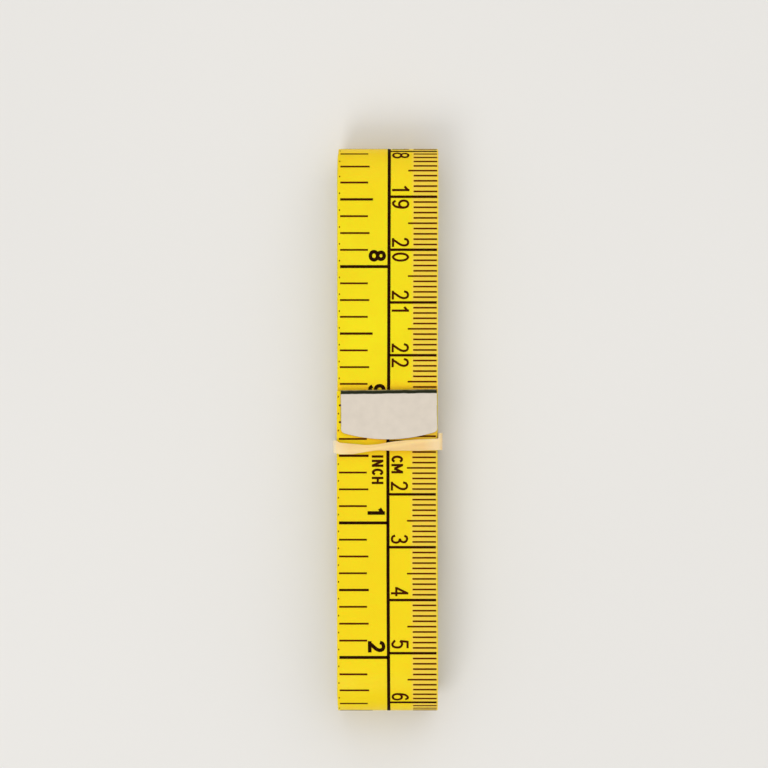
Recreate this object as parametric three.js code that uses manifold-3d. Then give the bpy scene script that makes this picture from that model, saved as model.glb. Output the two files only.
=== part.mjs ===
// Cloth tape measure, wound flat for keeping.
// The coated ribbon lies in one unbroken flat spiral, its zero end outermost on the front.
// A folded metal clip is crimped over each end, and a rubber band draws in the waist.
// Millimetres, +Z up: the wound tape lies on its back, its length along Y, its width along X.
import * as THREE from "three";
import Module from "manifold-3d";
import { mergeVertices } from "three/addons/utils/BufferGeometryUtils.js";

// Tape
const TAPE_LENGTH = 1500; // between the outer ends of the two clips
const TAPE_WIDTH = 19;
const TAPE_THICKNESS = 0.3;

// Winding
const TURNS = 7; // whole turns between the pass that ends at the zero clip and the one in the core
const TURN_GAP = 0.42; // clear space from one turn to the next
const ZERO_END = 7.4; // outer end of the zero clip above the middle of the winding
const FAR_END = 21; // outer end of the far clip below the middle of the winding
const END_STRETCH = 1.35; // how much longer than deep each rounded end is
const SWELL = 1.15; // how far both faces stand out at the ends beyond the drawn-in waist
const SWELL_LENGTH = 14; // run over which a face rises from the waist to the rest
const REST_LENGTH = 5; // flat that the winding lies on, next to each rounded end
const SWELL_STEPS = 6;
const END_STEPS = 14;

// Clips
const CLIP_SHEET = 0.25;
const CLIP_WIDTH = 18.2;
const CLIP_LENGTH = 9.4; // at the middle of its bowed edge
const CLIP_BOW = 1.4; // how much shorter the clip is at its sides
const CLIP_CORNER = 0.6;
const CLIP_FLUSH = 0.05; // from the right side of the zero clip to the edge of the tape
const CRIMP_GAP = 0.05; // between the tape and the sheet folded round it
const CORE_CLEARANCE = 0.3; // from the far clip to the turns on both sides of it

// Rubber band
const BAND_WIDTH = 2.2;
const BAND_THICKNESS = 0.7;
const BAND_CORNER = 0.5; // inside radius where the band turns round the tape's edges
const BAND_CLEARANCE = 0.25; // from the band to the tape
const BAND_TO_CLIP = 0.25; // from the bowed edge of the zero clip to the band
const BAND_TILT = 2.2; // degrees that the band lies askew, its right side towards the clip

// Bend of the free end
const BEND_GAP = 0.2; // the tape bends here, between the zero clip and the band

// Sizes that follow
const pitch = TAPE_THICKNESS + TURN_GAP;
const passes = 2 * TURNS;
const clipHalf = TAPE_THICKNESS / 2 + CRIMP_GAP + CLIP_SHEET;
const endInset = CLIP_SHEET + CRIMP_GAP;
const coreStep = clipHalf + CORE_CLEARANCE + TAPE_THICKNESS / 2;
const bendFrom = ZERO_END - CLIP_LENGTH;
const bendTo = bendFrom - BEND_GAP;
const bandTop = bendFrom - BAND_TO_CLIP;
const bandTilt = THREE.MathUtils.degToRad(BAND_TILT);

// Height of a pass of the tape over the middle plane at the waist, counted from the outside.
// The last pass lies half way between its neighbours, with room for the far clip.
function passHeight(pass) {
  if (pass === passes) {
    return pitch / 4;
  }
  return coreStep - pitch / 4 + ((passes - 1 - pass) * pitch) / 2;
}

// Share of the swell at a distance from the middle.
function swellAt(y, halfRun) {
  const top = halfRun - REST_LENGTH;
  return THREE.MathUtils.smoothstep(Math.abs(y), top - SWELL_LENGTH, top);
}

// Passes alternate between the front and the back face.
function passPoint(pass, y, halfRun) {
  const side = pass % 2 === 0 ? 1 : -1;
  return new THREE.Vector2(y, side * (passHeight(pass) + SWELL * swellAt(y, halfRun)));
}

// Depth of the rounded end between a pass and the next one, from its own middle.
function endDepth(pass) {
  return (passHeight(pass) + passHeight(pass + 1)) / 2 + SWELL;
}

// Places along one pass, from the upper end to the lower one, that its faces need.
function passPlaces(halfRun) {
  const upper = [halfRun];
  for (let step = 0; step <= SWELL_STEPS; step++) {
    upper.push(halfRun - REST_LENGTH - (SWELL_LENGTH * step) / SWELL_STEPS);
  }
  return [...upper, ...upper.map((y) => -y).reverse()];
}

// Middle line of the tape from the given start on the front to the given end in the core.
function windingLine(start, end, halfRun) {
  const line = [];
  for (let pass = 0; pass <= passes; pass++) {
    const down = pass % 2 === 0;
    let places = passPlaces(halfRun);
    if (pass === 0) {
      places = [start, ...places.filter((y) => y < start)];
    }
    if (pass === passes) {
      places = [...places.filter((y) => y > end), end];
    }
    if (!down) {
      places.reverse();
    }
    places.forEach((y) => line.push(passPoint(pass, y, halfRun)));
    if (pass < passes) {
      line.push(...roundedEnd(pass, halfRun, down));
    }
  }
  return line;
}

// Half ellipse that carries the tape from a pass to the next, without its two end points.
function roundedEnd(pass, halfRun, lower) {
  const edge = lower ? -halfRun : halfRun;
  const from = passPoint(pass, edge, halfRun);
  const to = passPoint(pass + 1, edge, halfRun);
  const middle = (from.y + to.y) / 2;
  const depth = (from.y - to.y) / 2;
  const reach = Math.sign(edge) * END_STRETCH * Math.abs(depth);
  const points = [];
  for (let step = 1; step < END_STEPS; step++) {
    const angle = (Math.PI * step) / END_STEPS;
    points.push(new THREE.Vector2(edge + reach * Math.sin(angle), middle + depth * Math.cos(angle)));
  }
  return points;
}

function lineLength(line) {
  return line.slice(1).reduce((sum, point, i) => sum + point.distanceTo(line[i]), 0);
}

// Half the straight run that uses up the tape: every pass grows with it alike.
const trialRun = 2 * ZERO_END + 2 * FAR_END;
const trialLength = lineLength(windingLine(ZERO_END, -FAR_END, trialRun));
const halfRun = trialRun + (TAPE_LENGTH - trialLength) / (2 * passes);

// Least clear space between parts of the line that are more than one end apart.
function leastGap(line) {
  let least = Infinity;
  const along = [0];
  line.slice(1).forEach((point, i) => along.push(along[i] + point.distanceTo(line[i])));
  const apart = 2 * END_STRETCH * endDepth(passes - 1);
  const nearest = new THREE.Vector3();
  const at = (point) => new THREE.Vector3(point.x, point.y, 0);
  line.forEach((point, i) => {
    for (let k = 0; k + 1 < line.length; k++) {
      if (along[k] - along[i] < apart) {
        continue;
      }
      const piece = new THREE.Line3(at(line[k]), at(line[k + 1]));
      piece.closestPointToPoint(at(point), true, nearest);
      least = Math.min(least, nearest.distanceTo(at(point)) - TAPE_THICKNESS);
    }
  });
  return least;
}

// Closed strip of the tape's width and thickness along a line in the YZ plane.
function ribbon(line) {
  const positions = [];
  const faces = [];
  line.forEach((point, i) => {
    const before = line[Math.max(i - 1, 0)];
    const after = line[Math.min(i + 1, line.length - 1)];
    const into = point.clone().sub(i > 0 ? before : point).normalize();
    const out = (i + 1 < line.length ? after : point).clone().sub(point).normalize();
    const travel = into.clone().add(out).normalize();
    const miter = TAPE_THICKNESS / 2 / Math.max(travel.dot(i > 0 ? into : out), 0.5);
    const dy = travel.y * miter;
    const dz = -travel.x * miter;
    const half = TAPE_WIDTH / 2;
    positions.push(-half, point.x + dy, point.y + dz);
    positions.push(half, point.x + dy, point.y + dz);
    positions.push(half, point.x - dy, point.y - dz);
    positions.push(-half, point.x - dy, point.y - dz);
    if (i === 0) {
      faces.push(0, 1, 2, 0, 2, 3);
      return;
    }
    for (let side = 0; side < 4; side++) {
      const a = 4 * (i - 1) + side;
      const b = 4 * (i - 1) + ((side + 1) % 4);
      faces.push(a, a + 4, b + 4, a, b + 4, b);
    }
  });
  const last = 4 * (line.length - 1);
  faces.push(last, last + 2, last + 1, last, last + 3, last + 2);
  const geometry = new THREE.BufferGeometry();
  geometry.setAttribute("position", new THREE.Float32BufferAttribute(positions, 3));
  geometry.setIndex(faces);
  return geometry;
}

const wasm = await Module();
wasm.setup();

function solidOf(geometry) {
  geometry.deleteAttribute("normal");
  geometry.deleteAttribute("uv");
  const merged = mergeVertices(geometry, 1e-4);
  return new wasm.Manifold(
    new wasm.Mesh({
      numProp: 3,
      vertProperties: new Float32Array(merged.attributes.position.array),
      triVerts: new Uint32Array(merged.index.array),
    }),
  );
}

function geometryOf(solid) {
  const mesh = solid.getMesh();
  const geometry = new THREE.BufferGeometry();
  geometry.setAttribute("position", new THREE.BufferAttribute(mesh.vertProperties, 3));
  geometry.setIndex(new THREE.BufferAttribute(mesh.triVerts, 1));
  return geometry;
}

// Clip: a U of sheet folded over the tape's end at the top, cut to its outline.
// Its fold's outer face is at y = 0, and the tape's middle plane at z = 0.
function foldedClip() {
  const inner = clipHalf - CLIP_SHEET;
  const section = new THREE.Shape();
  section.moveTo(-CLIP_LENGTH, inner);
  section.lineTo(-clipHalf, inner);
  section.absarc(-clipHalf, 0, inner, Math.PI / 2, -Math.PI / 2, true);
  section.lineTo(-CLIP_LENGTH, -inner);
  section.lineTo(-CLIP_LENGTH, -clipHalf);
  section.lineTo(-clipHalf, -clipHalf);
  section.absarc(-clipHalf, 0, clipHalf, -Math.PI / 2, Math.PI / 2, false);
  section.lineTo(-CLIP_LENGTH, clipHalf);
  section.closePath();
  const fold = new THREE.ExtrudeGeometry(section, {
    depth: CLIP_WIDTH,
    bevelEnabled: false,
    curveSegments: 8,
  });
  const along = new THREE.Matrix4().makeBasis(
    new THREE.Vector3(0, 1, 0),
    new THREE.Vector3(0, 0, 1),
    new THREE.Vector3(1, 0, 0),
  );
  fold.applyMatrix4(along).translate(-CLIP_WIDTH / 2, 0, 0);

  const half = CLIP_WIDTH / 2;
  const bowRadius = (half * half + CLIP_BOW * CLIP_BOW) / (2 * CLIP_BOW);
  const bowAngle = Math.asin(half / bowRadius);
  const outline = new THREE.Shape();
  outline.absarc(
    0,
    bowRadius - CLIP_LENGTH,
    bowRadius,
    -Math.PI / 2 - bowAngle,
    -Math.PI / 2 + bowAngle,
    false,
  );
  outline.lineTo(half, -CLIP_CORNER);
  outline.absarc(half - CLIP_CORNER, -CLIP_CORNER, CLIP_CORNER, 0, Math.PI / 2, false);
  outline.lineTo(CLIP_CORNER - half, 0);
  outline.absarc(CLIP_CORNER - half, -CLIP_CORNER, CLIP_CORNER, Math.PI / 2, Math.PI, false);
  outline.closePath();
  const cutter = new THREE.ExtrudeGeometry(outline, {
    depth: 4 * clipHalf,
    bevelEnabled: false,
    curveSegments: 10,
  });
  cutter.translate(0, 0, -2 * clipHalf);
  return geometryOf(solidOf(fold).intersect(solidOf(cutter)));
}

// Loop with rounded corners in the XZ plane, counted from its middle.
function loopOutline(path, half, bottom, top, corner) {
  path.moveTo(corner - half, bottom);
  path.lineTo(half - corner, bottom);
  path.absarc(half - corner, bottom + corner, corner, -Math.PI / 2, 0, false);
  path.lineTo(half, top - corner);
  path.absarc(half - corner, top - corner, corner, 0, Math.PI / 2, false);
  path.lineTo(corner - half, top);
  path.absarc(corner - half, top - corner, corner, Math.PI / 2, Math.PI, false);
  path.lineTo(-half, bottom + corner);
  path.absarc(corner - half, bottom + corner, corner, Math.PI, 1.5 * Math.PI, false);
  path.closePath();
  return path;
}

// Band: a loop round the drawn-in waist, extruded down the tape from its upper edge.
// Lying askew, it is a little longer across, so that it still clears the tape's edges.
function bandLoop() {
  const slack = (BAND_WIDTH / 2) * Math.tan(bandTilt);
  const half = (TAPE_WIDTH / 2 + BAND_CLEARANCE) / Math.cos(bandTilt) + slack;
  const top = passHeight(0) + TAPE_THICKNESS / 2 + BAND_CLEARANCE;
  const bottom = -passHeight(1) - TAPE_THICKNESS / 2 - BAND_CLEARANCE;
  const wall = BAND_THICKNESS;
  const loop = loopOutline(new THREE.Shape(), half + wall, bottom - wall, top + wall, BAND_CORNER + wall);
  loop.holes.push(loopOutline(new THREE.Path(), half, bottom, top, BAND_CORNER));
  const geometry = new THREE.ExtrudeGeometry(loop, {
    depth: BAND_WIDTH,
    bevelEnabled: false,
    curveSegments: 5,
  });
  const round = new THREE.Matrix4().makeBasis(
    new THREE.Vector3(1, 0, 0),
    new THREE.Vector3(0, 0, 1),
    new THREE.Vector3(0, -1, 0),
  );
  return geometry.applyMatrix4(round);
}

function piece(name, geometry, colour, metalness, roughness) {
  const material = new THREE.MeshStandardMaterial({ color: colour, metalness, roughness });
  const mesh = new THREE.Mesh(geometry, material);
  mesh.name = name;
  return mesh;
}

// Wound tape, from the bend beside the band to its end in the core
const woundLine = windingLine(bendTo, endInset - FAR_END, halfRun);
const woundTape = piece("wound_tape", ribbon(woundLine), 0xf6de20, 0, 0.45);
console.log("least gap between turns: " + leastGap(woundLine).toFixed(3) + " mm");

// Free end, the short stretch of tape inside the zero clip
const freeLine = [ZERO_END - endInset, bendFrom].map((y) => passPoint(0, y, halfRun));
const freeEnd = piece("tape_free_end", ribbon(freeLine), 0xf6de20, 0, 0.45);

// Zero clip, fold upwards on the front
const zeroClip = piece("zero_end_clip", foldedClip(), 0xded5cb, 1, 0.35);
zeroClip.position.set((TAPE_WIDTH - CLIP_WIDTH) / 2 - CLIP_FLUSH, ZERO_END, passHeight(0));

// Far clip, fold downwards in the core
const farClip = piece("far_end_clip", foldedClip(), 0xded5cb, 1, 0.35);
farClip.rotation.z = Math.PI;
farClip.position.set(0, -FAR_END, passHeight(passes));

// Rubber band, just below the zero clip
const band = piece("rubber_band", bandLoop(), 0xf4dcae, 0, 0.55);
band.rotation.z = bandTilt;
band.position.set((-BAND_WIDTH / 2) * Math.sin(bandTilt), bandTop, 0);

// The lower end is deeper than the upper one, so half the difference centres the whole.
const tapeMeasure = new THREE.Group();
tapeMeasure.name = "tape_measure";
const winding = new THREE.Group();
winding.position.y = (END_STRETCH * (endDepth(0) - endDepth(1))) / 2;
winding.position.z = passHeight(1) + SWELL + TAPE_THICKNESS / 2;
winding.add(woundTape, freeEnd, zeroClip, farClip, band);
tapeMeasure.add(winding);

export default tapeMeasure;
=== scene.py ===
import math

import bpy
import numpy as np
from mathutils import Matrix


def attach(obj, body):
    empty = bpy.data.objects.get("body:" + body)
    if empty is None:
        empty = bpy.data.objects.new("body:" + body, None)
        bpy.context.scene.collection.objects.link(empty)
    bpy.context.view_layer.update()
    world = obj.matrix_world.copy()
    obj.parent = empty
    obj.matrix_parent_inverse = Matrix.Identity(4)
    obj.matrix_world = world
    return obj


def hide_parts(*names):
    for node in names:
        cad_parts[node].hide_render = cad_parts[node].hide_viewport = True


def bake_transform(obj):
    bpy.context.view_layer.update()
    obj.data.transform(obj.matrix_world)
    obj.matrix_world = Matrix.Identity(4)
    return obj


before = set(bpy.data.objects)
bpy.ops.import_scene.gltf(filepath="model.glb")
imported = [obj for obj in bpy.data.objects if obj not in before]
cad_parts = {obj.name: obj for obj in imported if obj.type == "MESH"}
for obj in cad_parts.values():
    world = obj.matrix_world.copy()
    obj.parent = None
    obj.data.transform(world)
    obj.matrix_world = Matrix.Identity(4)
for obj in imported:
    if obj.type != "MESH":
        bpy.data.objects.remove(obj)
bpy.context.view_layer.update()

# View: straight down on the front of the wound tape. The long lens keeps its rounded ends
# almost as flat as in a drawing. The picture is about a third wider than the winding is long.
VIEW_OVER = (-0.0006, 0.0087)
VIEW_WIDTH = 0.1452
FRONT_HEIGHT = 0.012
VIEW_DISTANCE = 0.6
bpy.ops.object.select_all(action="DESELECT")
bpy.ops.object.camera_add(location=(*VIEW_OVER, FRONT_HEIGHT + VIEW_DISTANCE), rotation=(0, 0, 0))
camera = bpy.context.object
camera.name = "camera"
camera.data.lens = camera.data.sensor_width * VIEW_DISTANCE / VIEW_WIDTH
bpy.context.scene.camera = camera

# Tape: a ribbon of woven glass fibre with a plastic coat, yellow on the printed face and white
# on the reverse, slit 19 mm wide and cut 1.5 m long. It is made flat here, as on the roll, and
# then wound flat round itself, far end first, so that the zero end lies outermost.
MM = 0.001  # sizes are in millimetres, and u is the length along the tape from its zero end
TAPE_LENGTH = 1500.0
TAPE_HALF = 9.5
TAPE_BODY = 0.46
CRIMPED_BODY = 0.30  # where a clip squeezes the tape
FACE_ABOVE_LINE = 0.15  # printed face over the line that the winding follows
SLIT_ROUND = 0.09
PASSES = 14
PITCH = 0.72  # from each turn to the next
CORE_STEP = 0.9  # wider in the core, where the far clip lies
ZERO_END = 7.4  # above the middle of the winding
FAR_END = 21.0  # below it
END_STRETCH = 1.35  # length of a rounded end over half its depth
SWELL = 1.15  # how far the passes rise from the waist to the ends
SWELL_LENGTH = 14.0
REST_LENGTH = 5.0
LINE_STEPS = 220
END_STEPS = 56


def pass_height(number):
    """Height of a pass over the middle plane at the waist, counted from the outside."""
    if number == PASSES:
        return PITCH / 4
    return CORE_STEP - PITCH / 4 + (PASSES - 1 - number) * PITCH / 2


def eased(share):
    """A share from 0 to 1 that starts and ends gently."""
    return share * share * (3 - 2 * share)


def swell_at(y, half_run):
    from_waist = np.abs(y) - (half_run - REST_LENGTH - SWELL_LENGTH)
    return SWELL * eased(np.clip(from_waist / SWELL_LENGTH, 0, 1))


def winding_line(half_run, pass_steps, end_steps):
    """Middle line of the tape in the YZ plane, from the zero end to the far end."""
    runs = []
    for number in range(PASSES + 1):
        side = 1 if number % 2 == 0 else -1
        first = ZERO_END if number == 0 else side * half_run
        last = -FAR_END if number == PASSES else -side * half_run
        y = np.linspace(first, last, pass_steps)
        z = side * (pass_height(number) + swell_at(y, half_run))
        runs.append(np.column_stack([y, z]))
        if number == PASSES:
            break
        top = side * (pass_height(number) + SWELL)
        bottom = -side * (pass_height(number + 1) + SWELL)
        turn = np.pi * np.arange(1, end_steps) / end_steps
        depth = (top - bottom) / 2
        reach = -side * END_STRETCH * abs(depth)
        end_y = last + reach * np.sin(turn)
        end_z = (top + bottom) / 2 + depth * np.cos(turn)
        runs.append(np.column_stack([end_y, end_z]))
    return np.vstack(runs)


def length_along(line):
    steps = np.hypot(*np.diff(line, axis=0).T)
    return np.concatenate([[0.0], np.cumsum(steps)])


# The length of a trial winding shows how far each pass has to change to take up the tape.
trial_run = 2 * ZERO_END + 2 * FAR_END
trial_length = length_along(winding_line(trial_run, LINE_STEPS, END_STEPS))[-1]
half_run = trial_run + (TAPE_LENGTH - trial_length) / (2 * PASSES)
line = winding_line(half_run, LINE_STEPS, END_STEPS)
along = length_along(line)
heading = np.gradient(line, along, axis=0)
heading /= np.linalg.norm(heading, axis=1)[:, None]

# The winding is set with its middle over the origin and its lowest turn on the table.
CENTRE_Y = END_STRETCH * PITCH / 4
CENTRE_Z = pass_height(1) + SWELL + FACE_ABOVE_LINE

# The last of the tape, from the zero end to the band, is a piece of its own.
CLIP_COVER = 9.0
BAND_CUT = 10.6


def body_at(u):
    """Thickness of the tape along its length: the clips squeeze it at both ends."""
    from_end = np.minimum(u, TAPE_LENGTH - u)
    share = np.clip((from_end - CLIP_COVER) / (BAND_CUT - CLIP_COVER), 0, 1)
    return CRIMPED_BODY + (TAPE_BODY - CRIMPED_BODY) * share


# The outer lap lies a little aside where the hand left it. The turns inside wander in slow
# waves, each given by its height, its length and where it starts, and lie even in the core.
OUTER_PLACES = [10, 35, 52, 64, 150, 180, 226, 260]
OUTER_ASIDE = [-0.05, -0.03, 0.06, 0.14, 0.18, 0.22, 0.09, 0.0]
INNER_FROM = 230
INNER_RISE = 80
CORE_EVEN = 12
CORE_RISE = 60
ASIDE_MEAN = 0.09
ASIDE_WAVES = [(0.11, 47.0, 0.6), (0.07, 19.3, 2.1)]
SPRING_WAVES = [(0.055, 13.7, 0.0), (0.035, 5.9, 1.3)]


def waves_at(u, waves):
    return sum(high * np.sin(u / long + start) for high, long, start in waves)


def slack_at(u):
    """How far the turns lie aside of, or have sprung away from, an even winding."""
    outer = np.interp(u, OUTER_PLACES, OUTER_ASIDE)
    inner = np.clip((u - INNER_FROM) / INNER_RISE, 0, 1)
    inner *= np.clip((TAPE_LENGTH - CORE_EVEN - u) / CORE_RISE, 0, 1)
    across = ASIDE_MEAN + waves_at(u, ASIDE_WAVES)
    return outer + inner * across, inner * waves_at(u, SPRING_WAVES)


def vertices_of(piece):
    spots = np.empty(len(piece.data.vertices) * 3, np.float32)
    piece.data.vertices.foreach_get("co", spots)
    return spots.reshape(-1, 3).astype(float)


def set_vertices(piece, spots):
    piece.data.vertices.foreach_set("co", np.asarray(spots, np.float32).ravel())
    piece.data.update()


def wind(piece):
    """Carries a flat piece, x across and -y along the tape, on to the winding."""
    flat = vertices_of(piece) / MM
    u = -flat[:, 1]
    across, spring = slack_at(u)
    depth = np.where(flat[:, 2] < 0, flat[:, 2] * body_at(u) / TAPE_BODY, flat[:, 2])
    out = FACE_ABOVE_LINE + depth + spring
    head_y = np.interp(u, along, heading[:, 0])
    head_z = np.interp(u, along, heading[:, 1])
    y = np.interp(u, along, line[:, 0]) + head_z * out + CENTRE_Y
    z = np.interp(u, along, line[:, 1]) - head_y * out + CENTRE_Z
    set_vertices(piece, np.column_stack([flat[:, 0] + across, y, z]) * MM)


def select_only(piece):
    bpy.ops.object.select_all(action="DESELECT")
    piece.select_set(True)
    bpy.context.view_layer.objects.active = piece


def apply_modifiers(piece):
    select_only(piece)
    for modifier in list(piece.modifiers):
        bpy.ops.object.modifier_apply(modifier=modifier.name)


def thicken(piece, thickness, offset):
    """Gives a surface a thickness: offset -1 is inwards, 0 both ways, 1 outwards."""
    wall = piece.modifiers.new("wall", "SOLIDIFY")
    wall.thickness = thickness * MM
    wall.offset = offset


BEVEL_FROM = math.radians(40)


def bevel_edges(piece, width, segments):
    bevel = piece.modifiers.new("bevel", "BEVEL")
    bevel.width = width * MM
    bevel.segments = segments
    bevel.limit_method = "ANGLE"
    bevel.angle_limit = BEVEL_FROM


def drop_uv(piece):
    """Removes the UV map that a primitive comes with."""
    for layer in list(piece.data.uv_layers):
        piece.data.uv_layers.remove(layer)


def lay_uv(piece):
    """Keeps where each point lay while flat, in millimetres, as the piece's own UV map."""
    layer = piece.data.uv_layers.new(name="lay")
    corners = np.empty(len(piece.data.loops), np.int32)
    piece.data.loops.foreach_get("vertex_index", corners)
    flat = vertices_of(piece)[corners] / MM
    layer.data.foreach_set("uv", (flat[:, :2] * (1, -1)).astype(np.float32).ravel())


def lay_value(mesh, name, values):
    """Keeps a number at each point of a mesh for its material."""
    layer = mesh.attributes.new(name, "FLOAT", "POINT")
    layer.data.foreach_set("value", np.asarray(values, np.float32))


def shade(piece, degrees):
    select_only(piece)
    bpy.ops.object.shade_smooth_by_angle(angle=math.radians(degrees))


def copy_of(piece, name):
    select_only(piece)
    bpy.ops.object.duplicate()
    copy = bpy.context.object
    copy.name = name
    return copy


def cut_across(piece, place, keep_zero_end):
    """Cuts a flat piece straight across and keeps one side, with its cut end closed."""
    select_only(piece)
    bpy.ops.object.mode_set(mode="EDIT")
    bpy.ops.mesh.select_all(action="SELECT")
    bpy.ops.mesh.bisect(
        plane_co=(0, -place * MM, 0),
        plane_no=(0, 1, 0),
        use_fill=True,
        clear_inner=keep_zero_end,
        clear_outer=not keep_zero_end,
    )
    bpy.ops.object.mode_set(mode="OBJECT")


# Stations are the lengths at which the flat strip has a row of points: close together on the
# rounded ends, and closest where the free end bends.
PASS_STATIONS = 64
END_STATIONS = 28
END_INSET = 0.3
BEND_ROWS = np.arange(8.3, 10.4, 0.15)
stations = length_along(winding_line(half_run, PASS_STATIONS, END_STATIONS))
stations *= TAPE_LENGTH / stations[-1]
stations = np.clip(stations, END_INSET, TAPE_LENGTH - END_INSET)
stations = np.unique(np.concatenate([stations, BEND_ROWS]))


def strip_grid(name, columns):
    """Flat grid with a row at every station, and each point's side, -1 to 1, and length."""
    rows = len(stations) - 1
    bpy.ops.object.select_all(action="DESELECT")
    bpy.ops.mesh.primitive_grid_add(x_subdivisions=columns, y_subdivisions=rows, size=2)
    strip = bpy.context.object
    strip.name = name
    drop_uv(strip)
    grid = vertices_of(strip)
    row = np.rint((1 - grid[:, 1]) / 2 * rows).astype(int)
    return strip, grid[:, 0], stations[row]


TAPE_COLUMNS = 4
TAPE_SMOOTH = 35
tape_winding, side, u = strip_grid("tape_winding", TAPE_COLUMNS)
set_vertices(tape_winding, np.column_stack([side * TAPE_HALF, -u, 0 * u]) * MM)
thicken(tape_winding, TAPE_BODY, offset=-1)
bevel_edges(tape_winding, SLIT_ROUND, segments=2)
apply_modifiers(tape_winding)
lay_uv(tape_winding)
lay_value(tape_winding.data, "depth", -vertices_of(tape_winding)[:, 2] / MM)
tape_lead = copy_of(tape_winding, "tape_lead")
cut_across(tape_winding, BAND_CUT, keep_zero_end=False)
cut_across(tape_lead, BAND_CUT, keep_zero_end=True)
for strip in (tape_winding, tape_lead):
    wind(strip)
    shade(strip, TAPE_SMOOTH)

# The coat is yellow in lighter and deeper clouds. It is more golden on the outer lap, with
# golden painted shade where that bends, warmer under the fine ticks, where the ink has bled,
# and has orange painted shade along the fold and the bowed edge of the zero clip and beside
# the band. Places are millimetres along the tape or across it. A run of four numbers says
# where a tone rises and where it falls again.
COAT_YELLOW = (0.91, 0.755, 0.002, 1)
COAT_DEEP = (0.89, 0.695, 0.0015, 1)
COAT_GOLDEN = (0.92, 0.63, 0.0015, 1)
COAT_INKED = (0.90, 0.62, 0.06, 1)
# Orange of the painted shade on the coat beside the zero clip and the band.
COAT_PAINTED_SHADE = (0.99, 0.52, 0.004, 1)
COAT_WHITE = (0.80, 0.79, 0.75, 1)
SLIT_PALE = (0.80, 0.70, 0.36, 1)
COAT_ROUGHNESS = (0.40, 0.50)
WEAVE_PITCH = 0.42
GOLDEN_UNTIL = (180, 198)
GOLDEN_SHARE = 0.5
# Painted shade: the coat is more golden where the outer lap bends round the ends.
UPPER_BEND_SHADE = (168, 175, 180, 188)
LOWER_BEND_SHADE = (56, 61, 66, 74)
UPPER_BEND_SHADE_SHARE = 0.5
LOWER_BEND_SHADE_SHARE = 0.15
FINE_TICKS = (4.3, 4.9, 9.3, 9.6)
FINE_TICKS_SHARE = 0.85
# Painted shade: orange on the coat above the clip's fold, between its bowed edge and the band, and
# below the band.
FOLD_PAINTED_SHADE = (224.2, 225.9, 227.3, 228.6)
FOLD_PAINTED_SHADE_SHARE = 0.6
CLIP_HALF = 9.1
CLIP_BOW = 1.4
BOW_AT = 9.1
BOW_PAINTED_SHADE = (-0.4, 0.1, 0.4, 1.5)
BOW_PAINTED_SHADE_SIDES = 0.4
BAND_PAINTED_SHADE = (10.8, 11.4, 12.4, 14.4)
BAND_PAINTED_SHADE_SHARE = 0.3
YELLOW_DEPTH = (0.06, 0.12)
WHITE_DEPTH = (0.33, 0.39)


def new_material(name):
    material = bpy.data.materials.new(name)
    material.use_nodes = True
    tree = material.node_tree
    return material, tree, tree.nodes["Principled BSDF"]


def add_node(tree, kind, **settings):
    made = tree.nodes.new(kind)
    for key, value in settings.items():
        setattr(made, key, value)
    return made


def math_node(tree, operation, first, second=None, third=None):
    """A Math node whose inputs are sockets or plain numbers."""
    made = add_node(tree, "ShaderNodeMath", operation=operation)
    for slot, value in enumerate((first, second, third)):
        if value is None:
            continue
        if isinstance(value, (int, float)):
            made.inputs[slot].default_value = value
        else:
            tree.links.new(value, made.inputs[slot])
    return made.outputs[0]


def range_node(tree, value, low, high, to_low=0.0, to_high=1.0):
    made = add_node(tree, "ShaderNodeMapRange", clamp=True)
    tree.links.new(value, made.inputs["Value"])
    made.inputs["From Min"].default_value = low
    made.inputs["From Max"].default_value = high
    made.inputs["To Min"].default_value = to_low
    made.inputs["To Max"].default_value = to_high
    return made.outputs["Result"]


def mix_node(tree, share, first, second):
    made = add_node(tree, "ShaderNodeMix", data_type="RGBA")
    tree.links.new(share, made.inputs["Factor"])
    for slot, value in (("A", first), ("B", second)):
        socket = next(s for s in made.inputs if s.name == slot and s.type == "RGBA")
        if isinstance(value, tuple):
            socket.default_value = value
        else:
            tree.links.new(value, socket)
    return next(s for s in made.outputs if s.type == "RGBA")


def patches_group():
    """Soft uneven patches: how much of a second tone each spot takes, from 0 to 1."""
    group = bpy.data.node_groups.new("uneven_patches", "ShaderNodeTree")
    group.interface.new_socket("Vector", in_out="INPUT", socket_type="NodeSocketVector")
    for name in ("Scale", "Detail", "From", "To"):
        group.interface.new_socket(name, in_out="INPUT", socket_type="NodeSocketFloat")
    group.interface.new_socket("Share", in_out="OUTPUT", socket_type="NodeSocketFloat")
    given = add_node(group, "NodeGroupInput").outputs
    noise = add_node(group, "ShaderNodeTexNoise")
    spread = add_node(group, "ShaderNodeMapRange", clamp=True)
    for name in ("Vector", "Scale", "Detail"):
        group.links.new(given[name], noise.inputs[name])
    group.links.new(noise.outputs["Fac"], spread.inputs["Value"])
    group.links.new(given["From"], spread.inputs["From Min"])
    group.links.new(given["To"], spread.inputs["From Max"])
    group.links.new(spread.outputs["Result"], add_node(group, "NodeGroupOutput").inputs["Share"])
    return group


uneven_patches = patches_group()


def patches_node(tree, vector, scale, low, high, detail=2.0):
    made = add_node(tree, "ShaderNodeGroup", node_tree=uneven_patches)
    tree.links.new(vector, made.inputs["Vector"])
    for name, value in (("Scale", scale), ("Detail", detail), ("From", low), ("To", high)):
        made.inputs[name].default_value = value
    return made.outputs["Share"]


def window_node(tree, value, rise_from, rise_to, fall_from, fall_to):
    """1 between rise_to and fall_from, easing to 0 on both sides."""
    rise = range_node(tree, value, rise_from, rise_to)
    fall = range_node(tree, value, fall_from, fall_to, 1, 0)
    return math_node(tree, "MULTIPLY", rise, fall)


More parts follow.
